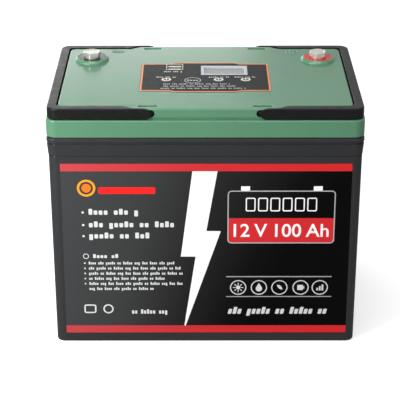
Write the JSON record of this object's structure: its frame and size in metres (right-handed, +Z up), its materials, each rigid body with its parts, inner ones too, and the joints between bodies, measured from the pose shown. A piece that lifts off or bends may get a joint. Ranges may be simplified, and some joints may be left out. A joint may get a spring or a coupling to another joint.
{
  "type": "deep cycle battery",
  "caption": "Block-shaped lithium iron phosphate battery with fold-down carry handles, a display panel and bolt terminals in the lid.",
  "frame": {"origin": "centre of the flat underside of the case", "axes": "+Z up, +X along the length towards the positive terminal's end, -Y the labelled front, terminals near the back (+Y)"},
  "size_m": [0.26, 0.168, 0.2212],
  "materials": {
    "case_black": "moulded ABS, fine satin grain",
    "lid_green": "moulded ABS, satin",
    "seal_rubber": "matt",
    "handle_black": "moulded polypropylene, fine grain",
    "label_film": "printed polyester film, semi-gloss",
    "panel_film": "printed polycarbonate film, velvet",
    "lcd_frame_grey": "satin",
    "lcd_display": "flat grey, unlit",
    "clear_window": "clear",
    "plated_steel": "bright plated",
    "white_plastic": "satin",
    "button_grey": "satin, with a light ring mark",
    "switch_black": "satin",
    "circuit_board": "solder mask, semi-gloss",
    "screw_steel": "zinc plated",
    "terminal_brass": "turned",
    "ring_black": "moulded, gloss",
    "ring_red": "moulded, gloss",
    "bolt_steel": "nickel plated",
    "cell_can": "aluminium can in a blue sleeve",
    "cell_post": "machined",
    "busbar": "nickel plated",
    "insulator": "fibreboard sheet",
    "end_plate": "brushed",
    "strap_steel": "band",
    "foam": "closed-cell foam",
    "lug_tin": "tinned copper",
    "tray_plastic": "moulded",
    "transistor": "moulded package",
    "heatsink": "extruded",
    "cable_red": "silicone insulation",
    "cable_black": "silicone insulation",
    "wire_blue": "insulated wire"
  },
  "bodies": {
    "housing": {"case": "case_black", "lid": "lid_green", "lid_seal": "seal_rubber", "front_label": "label_film", "display_overlay": "panel_film", "lcd_frame": "lcd_frame_grey", "lcd_panel": "lcd_display", "lcd_window": "clear_window", "usb_shell": "plated_steel", "usb_tongues": "white_plastic", "tact_switches": "switch_black", "display_board": "circuit_board", "display_board_screws": "screw_steel", "negative_terminal": "terminal_brass", "positive_terminal": "terminal_brass", "terminal_gaskets": "seal_rubber", "terminal_nuts": "screw_steel", "terminal_lugs": "lug_tin", "negative_ring": "ring_black", "positive_ring": "ring_red", "cell_1": "cell_can", "cell_2": "cell_can", "cell_3": "cell_can", "cell_4": "cell_can", "cell_posts": "cell_post", "cell_nuts": "screw_steel", "series_busbars": "busbar", "cell_insulators": "insulator", "end_plates": "end_plate", "pack_straps": "strap_steel", "base_pad": "foam", "end_pads": "foam", "cell_lugs": "lug_tin", "bms_tray": "tray_plastic", "bms_standoffs": "terminal_brass", "bms_board": "circuit_board", "bms_screws": "screw_steel", "bms_transistors": "transistor", "bms_heatsink": "heatsink", "bms_lugs": "lug_tin", "bms_lug_screws": "screw_steel", "wire_connectors": "white_plastic", "positive_cable": "cable_red", "negative_cable": "cable_black", "pack_negative_cable": "cable_black", "sensing_wires": "wire_blue", "temperature_sensor": "cable_black", "display_ribbon": "white_plastic"},
    "left_handle": {"left_handle": "handle_black"},
    "right_handle": {"right_handle": "handle_black"},
    "left_button": {"left_button": "button_grey"},
    "middle_button": {"middle_button": "button_grey"},
    "right_button": {"right_button": "button_grey"},
    "negative_washers": {"negative_washers": "bolt_steel"},
    "negative_bolt": {"negative_bolt": "bolt_steel"},
    "positive_washers": {"positive_washers": "bolt_steel"},
    "positive_bolt": {"positive_bolt": "bolt_steel"}
  },
  "joints": [
    {"name": "left_handle_fold", "type": "hinge", "parent": "housing", "child": "left_handle", "pos_m": [-0.0489, 0, 0.2092], "axis": [0, 1, 0], "range_deg": [0, 95]},
    {"name": "right_handle_fold", "type": "hinge", "parent": "housing", "child": "right_handle", "pos_m": [0.0489, 0, 0.2092], "axis": [0, -1, 0], "range_deg": [0, 95]},
    {"name": "left_button_press", "type": "slide", "parent": "housing", "child": "left_button", "axis": [0, 0, -1], "range_m": [0, 0.0004], "stiffness_N_per_m": 5000},
    {"name": "middle_button_press", "type": "slide", "parent": "housing", "child": "middle_button", "axis": [0, 0, -1], "range_m": [0, 0.0004], "stiffness_N_per_m": 5000},
    {"name": "right_button_press", "type": "slide", "parent": "housing", "child": "right_button", "axis": [0, 0, -1], "range_m": [0, 0.0004], "stiffness_N_per_m": 5000},
    {"name": "negative_bolt_lift", "type": "slide", "parent": "housing", "child": "negative_washers", "axis": [0, 0, 1], "range_m": [0, 0.0121]},
    {"name": "negative_bolt_turn", "type": "hinge", "parent": "negative_washers", "child": "negative_bolt", "pos_m": [-0.0995, 0.044, 0.2136], "axis": [0, 0, 1], "range_deg": [0, 3456]},
    {"name": "positive_bolt_lift", "type": "slide", "parent": "housing", "child": "positive_washers", "axis": [0, 0, 1], "range_m": [0, 0.0121]},
    {"name": "positive_bolt_turn", "type": "hinge", "parent": "positive_washers", "child": "positive_bolt", "pos_m": [0.0995, 0.044, 0.2136], "axis": [0, 0, 1], "range_deg": [0, 3456]}
  ],
  "couplings": [
    {"joint": "negative_bolt_lift", "follows": "negative_bolt_turn", "m_per_rad": 0.00019894},
    {"joint": "positive_bolt_lift", "follows": "positive_bolt_turn", "m_per_rad": 0.00019894}
  ]
}
